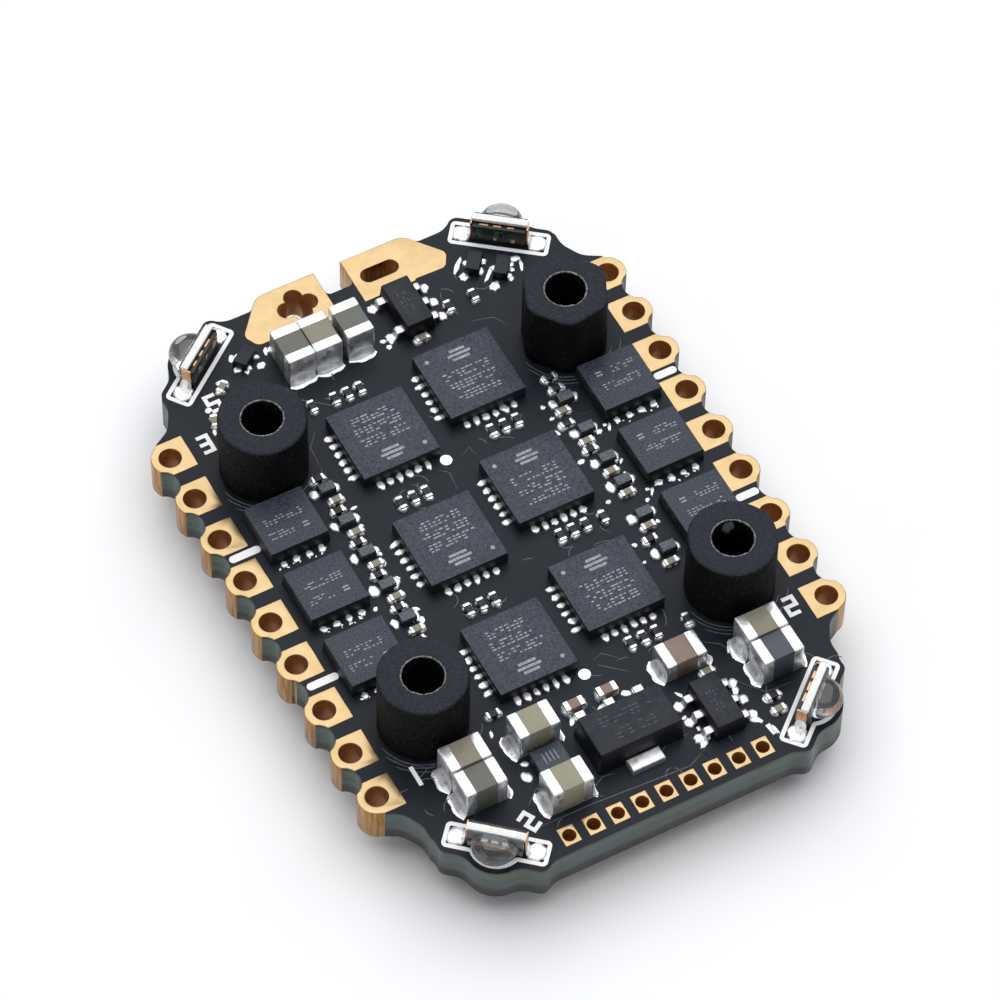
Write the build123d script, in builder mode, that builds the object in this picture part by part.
from build123d import *
import os
from math import cos, radians, sin

# Six-channel motor drive board of a nano flight stack, built up as on the bench:
# laminate, masks, plating, soldered parts and four rubber grommets in its corner holes.
# Millimetres. Origin: centre of the grommet pattern, at the plane the grommets stand on.
# +Z is the board's normal, +Y points to the battery lugs, +X to the right motor pads.

# ---- driving dimensions -------------------------------------------------------------
BOARD_T = 2.0            # finished board, mask face to mask face
MASK_T = 0.04            # solder mask on each face
PLATE_T = 0.05           # copper and gold on pads, hole walls and plated edges
PAD_PROUD = 0.02         # gold stands this far above the mask
SILK_T = 0.03            # white legend ink

STACK_PITCH = 16.0       # hole pattern, square
GROMMET_BELOW = 1.6      # rubber foot under the board
GROMMET_ABOVE = 3.9      # rubber sleeve over the board
GROMMET_R = 2.16
GROMMET_FOOT_R = 2.1
GROMMET_BORE_R = 1.08    # passes an M2 screw
STACK_HOLE_R = 1.6       # hole in the board that the rubber waist sits in
RUBBER_GAP = 0.04        # running gap between rubber waist and board hole

BOTTOM = GROMMET_BELOW
TOP = BOTTOM + BOARD_T
GROMMET_TOP = TOP + GROMMET_ABOVE

EDGE_X = 10.56           # straight side of the board by the LEDs
RIB_X = 11.95            # board edge beside the first and the last motor pad
FRONT_Y = -17.24         # straight edge by the header holes
LUG_Y = 16.95            # outer edge of the battery lugs

MOTOR_PAD_X = 11.7
MOTOR_PAD_PITCH = 2.6
MOTOR_PAD_GAP = 0.2      # extra gap between the second and third motor
MOTOR_PAD_HALF = 0.95
MOTOR_PAD_OUTER_X = 12.25
MOTOR_PAD_SHIFT = 0.02   # the rows of pads sit this far behind the grommet pattern
MOTOR_PAD_INNER_X = 10.67
MOTOR_HOLE_R = 0.53
PAD_BUMP_R = 0.92
PAD_SPACE = 0.5          # half the edge left standing between two routed scallops
SCALLOP_X = 11.9         # how deep the scallops between the pads go

HEADER_COUNT = 9
HEADER_PITCH = 1.25
HEADER_Y = -16.4
HEADER_PAD_X, HEADER_PAD_Y = 0.82, 0.98
HEADER_HOLE_R = 0.31

DRIVER = 4.0             # square gate driver package
DRIVER_H = 0.75
DRIVER_PITCH = 6.74
DRIVER_RIGHT = (2.78, 7.82)
DRIVER_LEFT = (-2.43, 6.64)
TERMINAL_PITCH = 0.5
TERMINAL_COUNT = 6

MOSFET_X, MOSFET_Y, MOSFET_H = 3.1, 3.0, 0.8
MOSFET_PITCH = 4.07
MOSFET_RIGHT_X, MOSFET_LEFT_X, MOSFET_FIRST_Y = 8.9, -8.72, 4.27
MOSFET_LEAD_PITCH = 0.65

DIODE_PITCH = 2.03
RIGHT_DIODES = [(6.3, 4.75), (6.35, 2.75), (6.4, 0.8), (6.4, -0.7), (6.4, -2.75), (6.45, -4.95)]
LEFT_DIODES = [(-6.05, 5.35 - DIODE_PITCH * k) for k in range(6)]

BULK_L, BULK_W, BULK_H = 2.1, 1.38, 1.75
BULK_CAPS = [                       # x, y, direction of the long side in degrees
    (-4.13, 12.6, 90), (-2.69, 12.6, 90), (-1.0, 12.6, 90),
    (-7.6, -11.27, 0), (-7.6, -12.76, 0), (-4.04, -11.17, 0), (-4.13, -14.5, 0),
    (7.7, -11.36, 0), (7.7, -12.84, 0),
]
INPUT_CAP = (3.86, -10.7, 0)
INPUT_H = 1.25

LED_TOP = (8.05, 14.6, -37.5)       # x, y, direction of the long side, right-hand one
LED_FRONT = (8.1, -15.3, 41.0)
LED_L, LED_H = 2.8, 1.4
TAB_BLEND_R = 1.2                      # hollow curve where a tongue meets the board's edge
LED_TAB_L, LED_TAB_W = 5.2, 1.85       # tongue of the board that carries one LED

os.makedirs("parts", exist_ok=True)


# ---- places worked out from the driving dimensions ----------------------------------
def mirrored(x, y, angle):
    """The same place on the other side of the board's centre line."""
    return (-x, y, 180 - angle)


def row_of(count, pitch, centre=0.0):
    """Evenly spaced positions about a centre, highest first."""
    return [centre + pitch * ((count - 1) / 2 - k) for k in range(count)]


def spot(x, y, z=0.0, angle=0.0):
    return Location((x, y, z), (0, 0, angle))


HALF = STACK_PITCH / 2
STACK_HOLES = [(-HALF, HALF), (HALF, HALF), (HALF, -HALF), (-HALF, -HALF)]

PAD_ROWS = []
for k in range(9):
    below_gap = MOTOR_PAD_GAP if k > 5 else 0.0
    PAD_ROWS.append(4 * MOTOR_PAD_PITCH + MOTOR_PAD_SHIFT - k * MOTOR_PAD_PITCH - below_gap)

HEADER_X = row_of(HEADER_COUNT, HEADER_PITCH)
DRIVERS = [(DRIVER_RIGHT[0], DRIVER_RIGHT[1] - DRIVER_PITCH * k, 0) for k in range(3)]
DRIVERS += [(DRIVER_LEFT[0], DRIVER_LEFT[1] - DRIVER_PITCH * k, 180) for k in range(3)]
MOSFET_ROWS = [MOSFET_FIRST_Y - MOSFET_PITCH * k for k in range(3)]
MOSFETS_TOP = [(MOSFET_RIGHT_X, y) for y in MOSFET_ROWS]
MOSFETS_TOP += [(MOSFET_LEFT_X, y) for y in MOSFET_ROWS]
LEDS = [LED_TOP, mirrored(*LED_TOP), LED_FRONT, mirrored(*LED_FRONT)]


# ---- flat outlines shared by laminate, masks and plating ----------------------------
def half_outline():
    """Right half of the board without pads, tabs and lugs, from front to back."""
    return [
        (0, FRONT_Y), (6.2, FRONT_Y), (EDGE_X, -13.6), (EDGE_X, -12.9), (11.1, -11.9),
        (RIB_X, -11.45), (RIB_X, 11.4), (11.1, 11.9), (EDGE_X, 12.9), (EDGE_X, 13.6),
        (6.6, 16.3), (0, 16.3),
    ]


with BuildSketch() as right_lug:
    with BuildLine():
        Polyline((0.6, 14.25), (0.6, LUG_Y), (3.95, LUG_Y), (5.45, 15.1), (5.0, 14.3), (3.4, 14.35),
                 (3.3, 14.25), close=True)
    make_face()
    fillet(right_lug.vertices().sort_by(Axis.X)[-2:], radius=0.4)
    fillet(right_lug.vertices().group_by(Axis.Y)[-1].sort_by(Axis.X)[-1], radius=0.9)

with BuildSketch() as left_lug:
    with BuildLine():
        Polyline((-0.82, 14.25), (-0.82, LUG_Y), (-3.95, LUG_Y), (-5.5, 15.1), (-5.1, 14.3), (-3.4, 14.35),
                 (-3.3, 14.25), close=True)
    make_face()
    fillet(left_lug.vertices().sort_by(Axis.X)[:2], radius=0.4)
    fillet(left_lug.vertices().group_by(Axis.Y)[-1].sort_by(Axis.X)[0], radius=0.9)

with BuildSketch() as uncut_outline:
    # the board before the scallops between the motor pads are routed
    with BuildLine():
        right_side = half_outline()
        left_side = [(-x, y) for x, y in reversed(right_side[1:-1])]
        Polyline(*right_side, *left_side, close=True)
    make_face()
    for x, y, angle in LEDS:
        with Locations(spot(x, y, 0, angle)):
            RectangleRounded(LED_TAB_L, LED_TAB_W, 0.45)
            Circle(1.54)
    offset(amount=TAB_BLEND_R, kind=Kind.ARC, mode=Mode.REPLACE)
    offset(amount=-TAB_BLEND_R, kind=Kind.ARC, mode=Mode.REPLACE)
    for side in (-1, 1):
        with Locations(*[(side * MOTOR_PAD_X, y) for y in PAD_ROWS]):
            Circle(PAD_BUMP_R)
        with Locations((side * MOTOR_PAD_X, (PAD_ROWS[0] + PAD_ROWS[-1]) / 2)):
            Rectangle(2 * (MOTOR_PAD_OUTER_X - MOTOR_PAD_X), PAD_ROWS[0] - PAD_ROWS[-1])
    add(right_lug.sketch)
    add(left_lug.sketch)
    offset(amount=0.25, kind=Kind.ARC, mode=Mode.REPLACE)
    offset(amount=-0.25, kind=Kind.ARC, mode=Mode.REPLACE)
    # notch between the two battery lugs
    with Locations((-0.11, 16.45)):
        RectangleRounded(1.42, 2.0, 0.25, mode=Mode.SUBTRACT)
    with Locations(*STACK_HOLES):
        Circle(STACK_HOLE_R, mode=Mode.SUBTRACT)

with BuildSketch() as board_outline:
    add(uncut_outline.sketch)
    for y, next_y in zip(PAD_ROWS, PAD_ROWS[1:]):
        scallop_r = (y - next_y) / 2 - PAD_SPACE
        for side in (-1, 1):
            with Locations((side * (SCALLOP_X + scallop_r), (y + next_y) / 2)):
                Circle(scallop_r, mode=Mode.SUBTRACT)


with BuildSketch() as motor_pad_shape:
    # one right-hand pad about its hole: flat inner end, round outer end over the bump
    Circle(PAD_BUMP_R)
    with Locations((MOTOR_PAD_INNER_X - MOTOR_PAD_X, 0)):
        Rectangle(MOTOR_PAD_OUTER_X - MOTOR_PAD_INNER_X, 2 * MOTOR_PAD_HALF, align=(Align.MIN, Align.CENTER))

with BuildSketch() as battery_positive_hole:
    # four overlapping drills
    with Locations((-2.36, 16.08), (-2.95, 15.55), (-1.8, 15.55), (-2.3, 15.1)):
        Circle(0.45)
    with Locations((-2.37, 15.58)):
        Circle(0.25)

with BuildSketch() as battery_negative_hole:
    with Locations((2.05, 15.58)):
        SlotOverall(1.95, 0.8)


def plated(builder_sketch, hole, core):
    """Gold-plated copper: a land on each face, the hole's wall and any edge it wraps."""
    with BuildPart() as pad:
        with BuildSketch(Plane.XY.offset(BOTTOM - PAD_PROUD)):
            add(builder_sketch)
            add(hole, mode=Mode.SUBTRACT)
        extrude(amount=BOARD_T + 2 * PAD_PROUD)
        with BuildSketch(Plane.XY.offset(BOTTOM + PLATE_T)):
            add(core)
        extrude(amount=BOARD_T - 2 * PLATE_T, mode=Mode.SUBTRACT)
    return pad


with BuildSketch() as board_core:
    # what lies inside the edge plating; the scallops are cut after plating and stay bare
    add(uncut_outline.sketch)
    offset(amount=-PLATE_T, kind=Kind.ARC, mode=Mode.REPLACE)


def pad_core(outline, hole, wall=PLATE_T):
    """The laminate between a pad's two lands, inside its edge plating and outside its barrel."""
    with BuildSketch() as barrel:
        add(hole)
        offset(amount=wall, kind=Kind.ARC, mode=Mode.REPLACE)
    with BuildSketch() as core:
        add(outline)
        add(board_core.sketch, mode=Mode.INTERSECT)
        add(barrel.sketch, mode=Mode.SUBTRACT)
    return core.sketch


# ---- plating: motor pads, battery lugs, header pads ---------------------------------
motor_pads = []
for side in (1, -1):
    for y in PAD_ROWS:
        turn = 0 if side > 0 else 180
        with BuildSketch() as pad_outline:
            add(motor_pad_shape.sketch.moved(spot(side * MOTOR_PAD_X, y, 0, turn)))
            add(board_outline.sketch, mode=Mode.INTERSECT)
        with BuildSketch() as pad_hole:
            with Locations((side * MOTOR_PAD_X, y)):
                Circle(MOTOR_HOLE_R)
        core = pad_core(pad_outline.sketch, pad_hole.sketch)
        motor_pads.append(plated(pad_outline.sketch, pad_hole.sketch, core))

for motor in range(6):
    with BuildPart() as motor_pad_group:
        for pad in motor_pads[3 * motor: 3 * motor + 3]:
            add(pad.part)
    motor_pad_group.part.label = f"motor_pads_{motor + 1}"
    export_step(motor_pad_group.part, f"parts/motor_pads_{motor + 1}.step")

lug_core = pad_core(left_lug.sketch, battery_positive_hole.sketch)
battery_pad_positive = plated(left_lug.sketch, battery_positive_hole.sketch, lug_core)
battery_pad_positive.part.label = "battery_pad_positive"
export_step(battery_pad_positive.part, "parts/battery_pad_positive.step")

lug_core = pad_core(right_lug.sketch, battery_negative_hole.sketch)
battery_pad_negative = plated(right_lug.sketch, battery_negative_hole.sketch, lug_core)
battery_pad_negative.part.label = "battery_pad_negative"
export_step(battery_pad_negative.part, "parts/battery_pad_negative.step")

with BuildSketch() as header_outline:
    with Locations(*[(x, HEADER_Y) for x in HEADER_X]):
        Rectangle(HEADER_PAD_X, HEADER_PAD_Y)
with BuildSketch() as header_holes:
    with Locations(*[(x, HEADER_Y) for x in HEADER_X]):
        Circle(HEADER_HOLE_R)
header_core = pad_core(header_outline.sketch, header_holes.sketch)
header_pads = plated(header_outline.sketch, header_holes.sketch, header_core)
header_pads.part.label = "header_pads"
export_step(header_pads.part, "parts/header_pads.step")

# ---- laminate and solder mask -------------------------------------------------------
with BuildSketch() as drilled:
    with Locations(*[(side * MOTOR_PAD_X, y) for side in (-1, 1) for y in PAD_ROWS]):
        Circle(MOTOR_HOLE_R)
    add(header_holes.sketch)
    add(battery_positive_hole.sketch)
    add(battery_negative_hole.sketch)

with BuildPart() as pcb_laminate:
    with BuildSketch(Plane.XY.offset(BOTTOM + MASK_T)):
        add(board_outline.sketch)
        add(drilled.sketch, mode=Mode.SUBTRACT)
    extrude(amount=BOARD_T - 2 * MASK_T)
    for pad in (*motor_pads, battery_pad_positive, battery_pad_negative, header_pads):
        add(pad.part, mode=Mode.SUBTRACT)
pcb_laminate.part.label = "pcb_laminate"
export_step(pcb_laminate.part, "parts/pcb_laminate.step")

FIDUCIALS = [(-0.3, 4.3), (-0.28, -9.2)]
FIDUCIAL_R = 0.29

with BuildSketch() as mask_openings:
    for side in (1, -1):
        for y in PAD_ROWS:
            turn = 0 if side > 0 else 180
            add(motor_pad_shape.sketch.moved(spot(side * MOTOR_PAD_X, y, 0, turn)))
    add(left_lug.sketch)
    add(right_lug.sketch)
    add(header_outline.sketch)

with BuildPart() as solder_mask_top:
    with BuildSketch(Plane.XY.offset(TOP - MASK_T)):
        add(board_outline.sketch)
        add(mask_openings.sketch, mode=Mode.SUBTRACT)
        with Locations(*FIDUCIALS):
            Circle(FIDUCIAL_R, mode=Mode.SUBTRACT)
    extrude(amount=MASK_T)
solder_mask_top.part.label = "solder_mask_top"
export_step(solder_mask_top.part, "parts/solder_mask_top.step")

with BuildPart() as solder_mask_bottom:
    with BuildSketch(Plane.XY.offset(BOTTOM)):
        add(board_outline.sketch)
        add(mask_openings.sketch, mode=Mode.SUBTRACT)
    extrude(amount=MASK_T)
solder_mask_bottom.part.label = "solder_mask_bottom"
export_step(solder_mask_bottom.part, "parts/solder_mask_bottom.step")

with BuildPart() as fiducials:
    with BuildSketch(Plane.XY.offset(TOP - MASK_T)):
        with Locations(*FIDUCIALS):
            Circle(FIDUCIAL_R)
    extrude(amount=MASK_T + PAD_PROUD)
fiducials.part.label = "fiducials"
export_step(fiducials.part, "parts/fiducials.step")

# ---- legend: LED frames, motor separators, plain digits -----------------------------
SEGMENTS = {1: "bc", 2: "abged", 3: "abgcd", 4: "fgbc", 5: "afgcd", 6: "afgedc"}
DIGIT_W, DIGIT_H, STROKE = 0.52, 0.9, 0.2


def digit(number, x, y, turn=0):
    """A plain seven-segment digit, drawn into the current sketch."""
    bars = {
        "a": (0, DIGIT_H / 2, DIGIT_W, STROKE), "d": (0, -DIGIT_H / 2, DIGIT_W, STROKE),
        "g": (0, 0, DIGIT_W, STROKE),
        "b": (DIGIT_W / 2, DIGIT_H / 4, STROKE, DIGIT_H / 2 + STROKE),
        "c": (DIGIT_W / 2, -DIGIT_H / 4, STROKE, DIGIT_H / 2 + STROKE),
        "f": (-DIGIT_W / 2, DIGIT_H / 4, STROKE, DIGIT_H / 2 + STROKE),
        "e": (-DIGIT_W / 2, -DIGIT_H / 4, STROKE, DIGIT_H / 2 + STROKE),
    }
    for segment in SEGMENTS[number]:
        bar_x, bar_y, width, height = bars[segment]
        with Locations(spot(x, y, 0, turn)):
            with Locations((bar_x, bar_y)):
                Rectangle(width, height)


def separators():
    """Rounded white bars that part the motors' pads, drawn into the current sketch."""
    for upper, lower in ((2, 3), (5, 6)):
        y = (PAD_ROWS[upper] + PAD_ROWS[lower]) / 2
        with Locations((-11.05, y)):
            SlotOverall(1.6, 0.4)
        with Locations((11.25, y)):
            SlotOverall(1.2, 0.4)


LED_FRAME_L, LED_FRAME_W, LED_ARC_R, LED_LINE = 4.9, 1.36, 1.3, 0.2

with BuildSketch() as led_frames:
    for x, y, angle in LEDS:
        outward = 1 if y > 0 else -1
        with BuildSketch(mode=Mode.PRIVATE) as frame_shape:
            RectangleRounded(LED_FRAME_L, LED_FRAME_W, 0.25)
            with BuildSketch(mode=Mode.PRIVATE) as dome_arc:
                Circle(LED_ARC_R)
                with Locations((0, -outward * LED_ARC_R)):
                    Rectangle(2 * LED_ARC_R, 2 * LED_ARC_R, mode=Mode.SUBTRACT)
            add(dome_arc.sketch)
            offset(amount=-LED_LINE, mode=Mode.SUBTRACT)
        tilt = angle if x > 0 else angle - 180
        add(frame_shape.sketch.moved(spot(x, y, 0, tilt)))

with BuildPart() as silkscreen_top:
    with BuildSketch(Plane.XY.offset(TOP)):
        add(led_frames.sketch)
        separators()
        with Locations(spot(5.82, -15.75, 0, 8)):
            Rectangle(0.24, 0.6)
        digit(3, -9.9, 10.35)
        digit(1, -9.9, -10.45)
        digit(2, 9.95, -10.35)
        digit(4, 9.95, 10.3)
        digit(2, -6.25, -14.95, 30)
        digit(5, -8.5, 12.3, 180)
    extrude(amount=SILK_T)
silkscreen_top.part.label = "silkscreen_top"
export_step(silkscreen_top.part, "parts/silkscreen_top.step")

with BuildPart() as silkscreen_bottom:
    with BuildSketch(Plane.XY.offset(BOTTOM - SILK_T)):
        separators()
        for motor in range(6):
            side = 1 if motor < 3 else -1
            with Locations((side * 10.52, PAD_ROWS[3 * (motor % 3) + 1])):
                Rectangle(0.14, 1.2)
    extrude(amount=SILK_T)
silkscreen_bottom.part.label = "silkscreen_bottom"
export_step(silkscreen_bottom.part, "parts/silkscreen_bottom.step")

# ---- shared shapes of the soldered parts --------------------------------------------
def moulded_body(places, length, width, height, seat=TOP, draft=0.0, edge=0.05):
    """Moulded packages standing on the board; a negative height hangs them under it."""
    with BuildPart() as body:
        with BuildSketch(Plane.XY.offset(seat)):
            for x, y, angle in places:
                with Locations(spot(x, y, 0, angle)):
                    Rectangle(length, width)
        extrude(amount=height, taper=draft)
        if edge > 0:
            far_faces = body.faces().sort_by(Axis.Z)
            far_faces = far_faces[-len(places):] if height > 0 else far_faces[:len(places)]
            chamfer(far_faces.edges(), length=edge)
    return body


def copies(shape, places):
    """Separate copies of one solid at each place."""
    with BuildPart() as group:
        with Locations(*places):
            add(shape.part)
    return group


def joined(first, second):
    """Two groups of separate solids as one."""
    with BuildPart() as group:
        add(first.part)
        add(second.part)
    return group


def solder_wedge(run, rise, width):
    """Solder climbing a vertical face at x = 0, sloping down to the board at x = run."""
    with BuildPart() as wedge:
        with BuildSketch(Plane.XZ):
            with BuildLine():
                Line((0, rise), (0, 0))
                Line((0, 0), (run, 0))
                ThreePointArc((run, 0), (0.41 * run, 0.41 * rise), (0, rise))
            make_face()
        extrude(amount=width / 2, both=True)
    return wedge


def gull_wing(width, height, reach, foot=0.22, metal=0.12):
    """A bent lead from a package side at x = 0, down to a flat foot on the board."""
    with BuildPart() as lead:
        with BuildSketch(Plane.XZ):
            with BuildLine():
                Polyline((0, height), (reach - foot, height), (reach - foot, metal), (reach, metal),
                         (reach, 0), (reach - foot - metal, 0), (reach - foot - metal, height - metal),
                         (0, height - metal), close=True)
            make_face()
        extrude(amount=width / 2, both=True)
    return lead


def around(centre, offset_x, offset_y, turn=0.0):
    """The place at an offset from a part's centre, after the part's own turn."""
    x, y, angle = centre
    a = radians(angle)
    return (x + offset_x * cos(a) - offset_y * sin(a),
            y + offset_x * sin(a) + offset_y * cos(a), angle + turn)


def at(place, z=TOP, flip=False):
    """Location of a place on the top face, or on the underside when flipped."""
    x, y, angle = place
    return Location((x, y, z), (180, 0, -angle)) if flip else Location((x, y, z), (0, 0, angle))


def two_terminal(places, length, width, height, end, seat=TOP):
    """Chip parts: the bodies and, apart from them, the metal caps on their ends."""
    direction = 1 if height > 0 else -1
    with BuildPart() as bodies:
        with BuildSketch(Plane.XY.offset(seat)):
            for x, y, angle in places:
                with Locations(spot(x, y, 0, angle)):
                    Rectangle(length - 2 * end, width)
        extrude(amount=height)
    with BuildPart() as ends:
        with BuildSketch(Plane.XY.offset(seat)):
            for place in places:
                for side in (-1, 1):
                    x, y, angle = around(place, side * (length - end) / 2, 0)
                    with Locations(spot(x, y, 0, angle)):
                        Rectangle(end, width + 0.04)
        extrude(amount=height + direction * 0.02)
    return bodies, ends


# ---- gate drivers -------------------------------------------------------------------
for number, (x, y, angle) in enumerate(DRIVERS, start=1):
    gate_driver = moulded_body([(x, y, angle)], DRIVER, DRIVER, DRIVER_H)
    with BuildPart() as dotted_driver:
        add(gate_driver.part)
        dot_x, dot_y, dot_angle = around((x, y, angle), -1.5, 1.4)
        with BuildSketch(Plane.XY.offset(TOP + DRIVER_H - 0.03)):
            with Locations((dot_x, dot_y)):
                Circle(0.17)
        extrude(amount=0.03, mode=Mode.SUBTRACT)
    dotted_driver.part.label = f"gate_driver_{number}"
    export_step(dotted_driver.part, f"parts/gate_driver_{number}.step")

terminal = solder_wedge(0.32, 0.22, 0.27)
terminal_places = []
for driver in DRIVERS:
    for quarter in range(4):
        for step in row_of(TERMINAL_COUNT, TERMINAL_PITCH):
            side_turn = radians(90 * quarter)
            offset_x = DRIVER / 2 * cos(side_turn) - step * sin(side_turn)
            offset_y = DRIVER / 2 * sin(side_turn) + step * cos(side_turn)
            terminal_places.append(at(around(driver, offset_x, offset_y, 90 * quarter)))
gate_driver_terminals = copies(terminal, terminal_places)
gate_driver_terminals.part.label = "gate_driver_terminals"
export_step(gate_driver_terminals.part, "parts/gate_driver_terminals.step")

# ---- half-bridge MOSFET packages ----------------------------------------------------
for number, (x, y) in enumerate(MOSFETS_TOP, start=1):
    mosfet = moulded_body([(x, y, 0)], MOSFET_X, MOSFET_Y, MOSFET_H, draft=5, edge=0)
    mosfet.part.label = f"mosfet_top_{number}"
    export_step(mosfet.part, f"parts/mosfet_top_{number}.step")

UNDER_X = (8.65, 5.25)
MOSFETS_UNDER = [(side * x, y, 0) for side in (1, -1) for x in UNDER_X for y in MOSFET_ROWS]
mosfets_bottom = moulded_body(MOSFETS_UNDER, MOSFET_X, MOSFET_Y, -MOSFET_H, seat=BOTTOM, draft=5, edge=0)
mosfets_bottom.part.label = "mosfets_bottom"
export_step(mosfets_bottom.part, "parts/mosfets_bottom.step")


def mosfet_lead_places(x, y, flip=False):
    """Four leads out of one package's front edge; its rear contacts are flush."""
    level = BOTTOM if flip else TOP
    return [at((x + step, y - MOSFET_Y / 2, -90), level, flip) for step in row_of(4, MOSFET_LEAD_PITCH)]


mosfet_lead = solder_wedge(0.3, 0.2, 0.34)
top_lead_places = [place for x, y in MOSFETS_TOP for place in mosfet_lead_places(x, y)]
mosfet_top_leads = copies(mosfet_lead, top_lead_places)
mosfet_top_leads.part.label = "mosfet_top_leads"
export_step(mosfet_top_leads.part, "parts/mosfet_top_leads.step")

under_lead_places = [place for x, y, _ in MOSFETS_UNDER for place in mosfet_lead_places(x, y, flip=True)]
mosfet_bottom_leads = copies(mosfet_lead, under_lead_places)
mosfet_bottom_leads.part.label = "mosfet_bottom_leads"
export_step(mosfet_bottom_leads.part, "parts/mosfet_bottom_leads.step")

# ---- motor microcontrollers under the board -----------------------------------------
MCU, MCU_H, MCU_X = 3.0, 0.75, 1.85
MICROCONTROLLERS = [(side * MCU_X, y, 0) for side in (-1, 1) for y in row_of(3, DRIVER_PITCH)]
microcontrollers = moulded_body(MICROCONTROLLERS, MCU, MCU, -MCU_H, seat=BOTTOM)
microcontrollers.part.label = "microcontrollers"
export_step(microcontrollers.part, "parts/microcontrollers.step")

mcu_terminal = solder_wedge(0.26, 0.18, 0.24)
mcu_terminal_places = []
for controller in MICROCONTROLLERS:
    for quarter in range(4):
        for step in row_of(5, TERMINAL_PITCH):
            side_turn = radians(90 * quarter)
            offset_x = MCU / 2 * cos(side_turn) - step * sin(side_turn)
            offset_y = MCU / 2 * sin(side_turn) + step * cos(side_turn)
            mcu_terminal_places.append(at(around(controller, offset_x, offset_y, 90 * quarter), BOTTOM, True))
microcontroller_terminals = copies(mcu_terminal, mcu_terminal_places)
microcontroller_terminals.part.label = "microcontroller_terminals"
export_step(microcontroller_terminals.part, "parts/microcontroller_terminals.step")

# ---- voltage regulator with its heat tab --------------------------------------------
REGULATOR = (-0.1, -13.05, 0)
REGULATOR_L, REGULATOR_W, REGULATOR_H = 4.4, 2.5, 1.45
regulator_body = moulded_body([REGULATOR], REGULATOR_L, REGULATOR_W, REGULATOR_H, draft=5, edge=0)
regulator_body.part.label = "regulator_body"
export_step(regulator_body.part, "parts/regulator_body.step")

with BuildPart() as regulator_leads:
    with BuildSketch(Plane.XY.offset(TOP)):
        with Locations((REGULATOR[0], REGULATOR[1] - REGULATOR_W / 2)):
            Rectangle(1.7, 0.7, align=(Align.CENTER, Align.MAX))
        with Locations(*[(REGULATOR[0] + x, REGULATOR[1] + REGULATOR_W / 2) for x in row_of(3, 1.5)]):
            Rectangle(0.5, 0.8, align=(Align.CENTER, Align.MIN))
    extrude(amount=0.38)
    fillet(regulator_leads.edges().group_by(Axis.Z)[-1], radius=0.08)
regulator_leads.part.label = "regulator_leads"
export_step(regulator_leads.part, "parts/regulator_leads.step")

# ---- small gull-wing packages -------------------------------------------------------
SOT_L, SOT_W, SOT_H, SOT_PITCH = 2.9, 1.55, 1.05, 0.95
SUPPLY_SWITCH = (2.05, 12.7, 90)
SENSE_AMPLIFIER = (4.05, -13.75, 90)
sot_lead = gull_wing(0.4, 0.55, 0.68)
FIVE_LEADS = ((-1, -SOT_PITCH), (-1, 0), (-1, SOT_PITCH), (1, -SOT_PITCH), (1, SOT_PITCH))
SIX_LEADS = FIVE_LEADS + ((1, 0),)
for place, label, leads in ((SUPPLY_SWITCH, "supply_switch", FIVE_LEADS),
                            (SENSE_AMPLIFIER, "sense_amplifier", SIX_LEADS)):
    sot_body = moulded_body([place], SOT_L, SOT_W, SOT_H - 0.1, seat=TOP + 0.1, draft=6, edge=0)
    sot_body.part.label = f"{label}_body"
    export_step(sot_body.part, f"parts/{label}_body.step")
    lead_places = [at(around(place, step, side * (SOT_W / 2 - 0.04), side * 90))
                   for side, step in leads]
    with BuildPart() as sot_leads:
        with Locations(*lead_places):
            add(sot_lead.part)
        add(sot_body.part, mode=Mode.SUBTRACT)
    sot_leads.part.label = f"{label}_leads"
    export_step(sot_leads.part, f"parts/{label}_leads.step")

# small transistors beside the rear LEDs: two at the right one, turned with it, and one at the left
LED_TRANSISTORS = [(6.2, 13.75, LED_TOP[2] + 90), (7.28, 12.9, LED_TOP[2] + 90), (-6.05, 13.85, -LED_TOP[2])]
led_transistor_bodies = moulded_body(LED_TRANSISTORS, 1.2, 0.75, 0.5, draft=5, edge=0)
led_transistor_bodies.part.label = "led_transistor_bodies"
export_step(led_transistor_bodies.part, "parts/led_transistor_bodies.step")
transistor_lead = solder_wedge(0.3, 0.25, 0.26)
transistor_places = [at(around(place, step, side * 0.375, side * 90))
                     for place in LED_TRANSISTORS for side, step in ((-1, -0.35), (-1, 0.35), (1, 0))]
led_transistor_leads = copies(transistor_lead, transistor_places)
led_transistor_leads.part.label = "led_transistor_leads"
export_step(led_transistor_leads.part, "parts/led_transistor_leads.step")

# ---- power inductor between the front capacitors ------------------------------------
filter_inductor = moulded_body([(-3.95, -12.66, 0)], 1.6, 1.25, 0.6)
filter_inductor.part.label = "filter_inductor"
export_step(filter_inductor.part, "parts/filter_inductor.step")

# ---- bulk capacitors ----------------------------------------------------------------
BULK_END = 0.55
bulk_set = two_terminal(BULK_CAPS, BULK_L, BULK_W, BULK_H, BULK_END)
input_set = two_terminal([INPUT_CAP], BULK_L, BULK_W, INPUT_H, BULK_END)
for kind, tall, low in zip(("bodies", "ends"), bulk_set, input_set):
    bulk_capacitors = joined(tall, low)
    bulk_capacitors.part.label = f"bulk_capacitor_{kind}"
    export_step(bulk_capacitors.part, f"parts/bulk_capacitor_{kind}.step")

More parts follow.
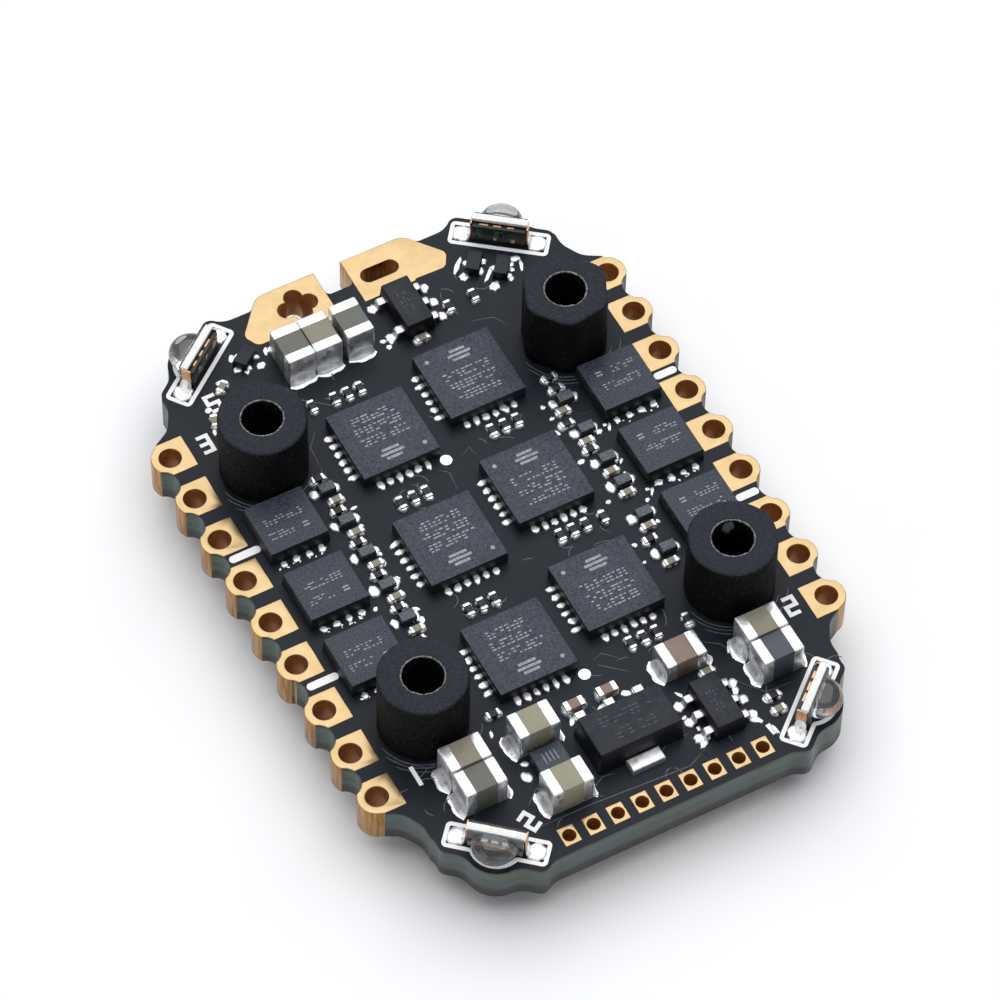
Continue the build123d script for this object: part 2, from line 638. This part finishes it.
# ---- bootstrap diodes, one for each half bridge on this face ------------------------
DIODE_L, DIODE_W, DIODE_H = 1.1, 0.62, 0.55
DIODES = [(x, y, 0) for x, y in RIGHT_DIODES + LEFT_DIODES]
bootstrap_diodes = moulded_body(DIODES, DIODE_L, DIODE_W, DIODE_H, draft=8, edge=0)
bootstrap_diodes.part.label = "bootstrap_diodes"
export_step(bootstrap_diodes.part, "parts/bootstrap_diodes.step")
diode_lead = solder_wedge(0.32, 0.3, 0.42)
diode_places = [at(around(diode, side * DIODE_L / 2, 0, 90 - side * 90))
                for diode in DIODES for side in (-1, 1)]
bootstrap_diode_leads = copies(diode_lead, diode_places)
bootstrap_diode_leads.part.label = "bootstrap_diode_leads"
export_step(bootstrap_diode_leads.part, "parts/bootstrap_diode_leads.step")

# ---- small resistors and capacitors -------------------------------------------------
CHIP_L, CHIP_W, CHIP_H, CHIP_END = 0.68, 0.34, 0.28, 0.16

GATE_RESISTORS = [(x - 0.12, y + 0.68, 0) for x, y, _ in DIODES[6:]]
GATE_RESISTORS += [(6.2, 6.15, 0), (6.18, 5.45, 0), (5.65, 3.4, 0), (5.92, 1.6, 0),
                   (5.95, -4.15, 0)]
TRIPLES = (-0.42, 0.25, 0.92)
for driver in DRIVERS:
    GATE_RESISTORS += [around(driver, step, -3.12, 90) for step in TRIPLES]
GATE_RESISTORS += [(-4.5, 9.85, 90), (4.62, -2.05, 90), (5.3, -8.85, 90)]
GATE_RESISTORS += [(3.95, 12.05, 90), (5.3, 12.1, 90), (-5.05, -9.25, 0), (6.75, -14.3, 0)]

CHIP_CAPS = [(x + 0.1, y - 0.76, 0) for x, y, _ in DIODES[6:]]
CHIP_CAPS += [(5.85, 4.15, 0), (6.0, 2.1, 0), (6.2, 0.06, 0), (6.3, -1.35, 0), (6.25, -3.45, 0),
              (6.2, -5.7, 0)]
CHIP_CAPS += [(1.95, 11.0, 0), (6.6, -15.05, 0), (4.7, -11.75, 0), (-7.75, 12.85, 37.5), (-8.95, 11.25, 75)]

# two taller capacitors behind the regulator
TALL_CAPS = [(-1.6, -10.6, 0), (0.1, -10.6, 0)]
TALL_L, TALL_W, TALL_H, TALL_END = 1.0, 0.5, 0.5, 0.26

UNDER_CHIPS = [(side * 5.2, y, 0) for side in (-1, 1) for y in (-6.6, -7.6, 6.9, 7.9)]
UNDER_CHIPS += [(side * MCU_X, y, 0) for side in (-1, 1) for y in (3.0, 3.8, -3.0, -3.8, 9.2, 10.0)]

resistor_set = two_terminal(GATE_RESISTORS, CHIP_L, CHIP_W, CHIP_H, CHIP_END)
under_set = two_terminal(UNDER_CHIPS, CHIP_L, CHIP_W, -CHIP_H, CHIP_END, seat=BOTTOM)
capacitor_set = two_terminal(CHIP_CAPS, CHIP_L, CHIP_W, CHIP_H, CHIP_END)
tall_set = two_terminal(TALL_CAPS, TALL_L, TALL_W, TALL_H, TALL_END)
for part_kind, one_set, other_set in (("chip_resistor", resistor_set, under_set),
                                      ("chip_capacitor", capacitor_set, tall_set)):
    for kind, first, second in zip(("bodies", "ends"), one_set, other_set):
        chips = joined(first, second)
        chips.part.label = f"{part_kind}_{kind}"
        export_step(chips.part, f"parts/{part_kind}_{kind}.step")

# ---- solder joints of the larger parts ----------------------------------------------
FILLET_RUN, FILLET_RISE, FILLET_INSET = 0.38, 0.5, 0.2
bulk_fillet = solder_wedge(FILLET_RUN, FILLET_RISE, BULK_W - FILLET_INSET)
joint_places = [at(around(place, side * BULK_L / 2, 0, 90 - side * 90))
                for place in BULK_CAPS + [INPUT_CAP] for side in (-1, 1)]
LED_PAD_T, LED_PAD_L, LED_PAD_W = 1.85, 0.64, 0.85
with BuildPart() as solder_joints:
    with Locations(*joint_places):
        add(bulk_fillet.part)
    for x, y, angle in LEDS:
        for side in (-1, 1):
            pad_x, pad_y, _ = around((x, y, angle), side * LED_PAD_T, 0)
            with BuildSketch(Plane.XY.offset(TOP)):
                with Locations(spot(pad_x, pad_y, 0, angle)):
                    RectangleRounded(LED_PAD_L, LED_PAD_W, 0.1)
            extrude(amount=0.35, taper=20)
solder_joints.part.label = "solder_joints"
export_step(solder_joints.part, "parts/solder_joints.step")

# ---- side-looking LEDs at the corners -----------------------------------------------
LED_CARRIER, LED_BLOCK, LENS_R = 0.3, 0.5, 0.85
BLOCK_N = 0.14 - LED_BLOCK / 2       # inner face of the white block, measured outwards


def led_places():
    """Frames with +X along each LED and +Y pointing off the board."""
    places = []
    for x, y, angle in LEDS:
        tilt = angle if x > 0 else angle - 180
        places.append(spot(x, y, TOP, tilt if y > 0 else tilt + 180))
    return places


with BuildPart() as led_block:
    with Locations((0, BLOCK_N, 0)):
        Box(LED_L, LED_BLOCK, LED_H, align=(Align.CENTER, Align.MIN, Align.MIN))
with BuildPart() as led_carrier:
    with Locations((0, BLOCK_N, 0)):
        Box(LED_L, LED_CARRIER, LED_H - 0.02, align=(Align.CENTER, Align.MAX, Align.MIN))
with BuildPart() as led_lens:
    with Locations((0, BLOCK_N + LED_BLOCK, LED_H / 2)):
        Sphere(LENS_R)
    with Locations((0, BLOCK_N + LED_BLOCK, 0)):
        Box(4, 4, 4, align=(Align.CENTER, Align.MAX, Align.CENTER), mode=Mode.SUBTRACT)
    split(bisect_by=Plane.XY.offset(LED_H - 0.05), keep=Keep.BOTTOM)
    split(bisect_by=Plane.XY.offset(0.05), keep=Keep.TOP)
with BuildPart() as led_contact:
    for side in (-1, 1):
        with Locations((side * LED_L / 2, BLOCK_N - LED_CARRIER, 0)):
            Box(0.1, LED_CARRIER + LED_BLOCK - 0.1, LED_H - 0.2,
                align=(Align.MIN if side > 0 else Align.MAX, Align.MIN, Align.MIN))

for piece, label in ((led_block, "led_housings"), (led_carrier, "led_carriers"), (led_lens, "led_lenses"),
                     (led_contact, "led_contacts")):
    led_group = copies(piece, led_places())
    led_group.part.label = label
    export_step(led_group.part, f"parts/{label}.step")

# ---- rubber grommets ----------------------------------------------------------------
WAIST_R = STACK_HOLE_R - RUBBER_GAP
FACE_GAP = 0.02
GROMMET_NAMES = ("rear_left", "rear_right", "front_right", "front_left")
for corner, (x, y) in zip(GROMMET_NAMES, STACK_HOLES):
    with BuildPart() as grommet:
        with BuildSketch(Plane(origin=(x, y, 0), x_dir=(1, 0, 0), z_dir=(0, -1, 0))):
            with BuildLine():
                Polyline((GROMMET_BORE_R, 0), (GROMMET_FOOT_R, 0), (GROMMET_FOOT_R, BOTTOM - FACE_GAP),
                         (WAIST_R, BOTTOM - FACE_GAP), (WAIST_R, TOP + FACE_GAP),
                         (GROMMET_R, TOP + FACE_GAP), (GROMMET_R, GROMMET_TOP),
                         (GROMMET_BORE_R, GROMMET_TOP), close=True)
            make_face()
        revolve(axis=Axis((x, y, 0), (0, 0, 1)))
        fillet(grommet.edges().filter_by(GeomType.CIRCLE).sort_by(Axis.Z)[-2:], radius=0.12)
    grommet.part.label = f"grommet_{corner}"
    export_step(grommet.part, f"parts/grommet_{corner}.step")
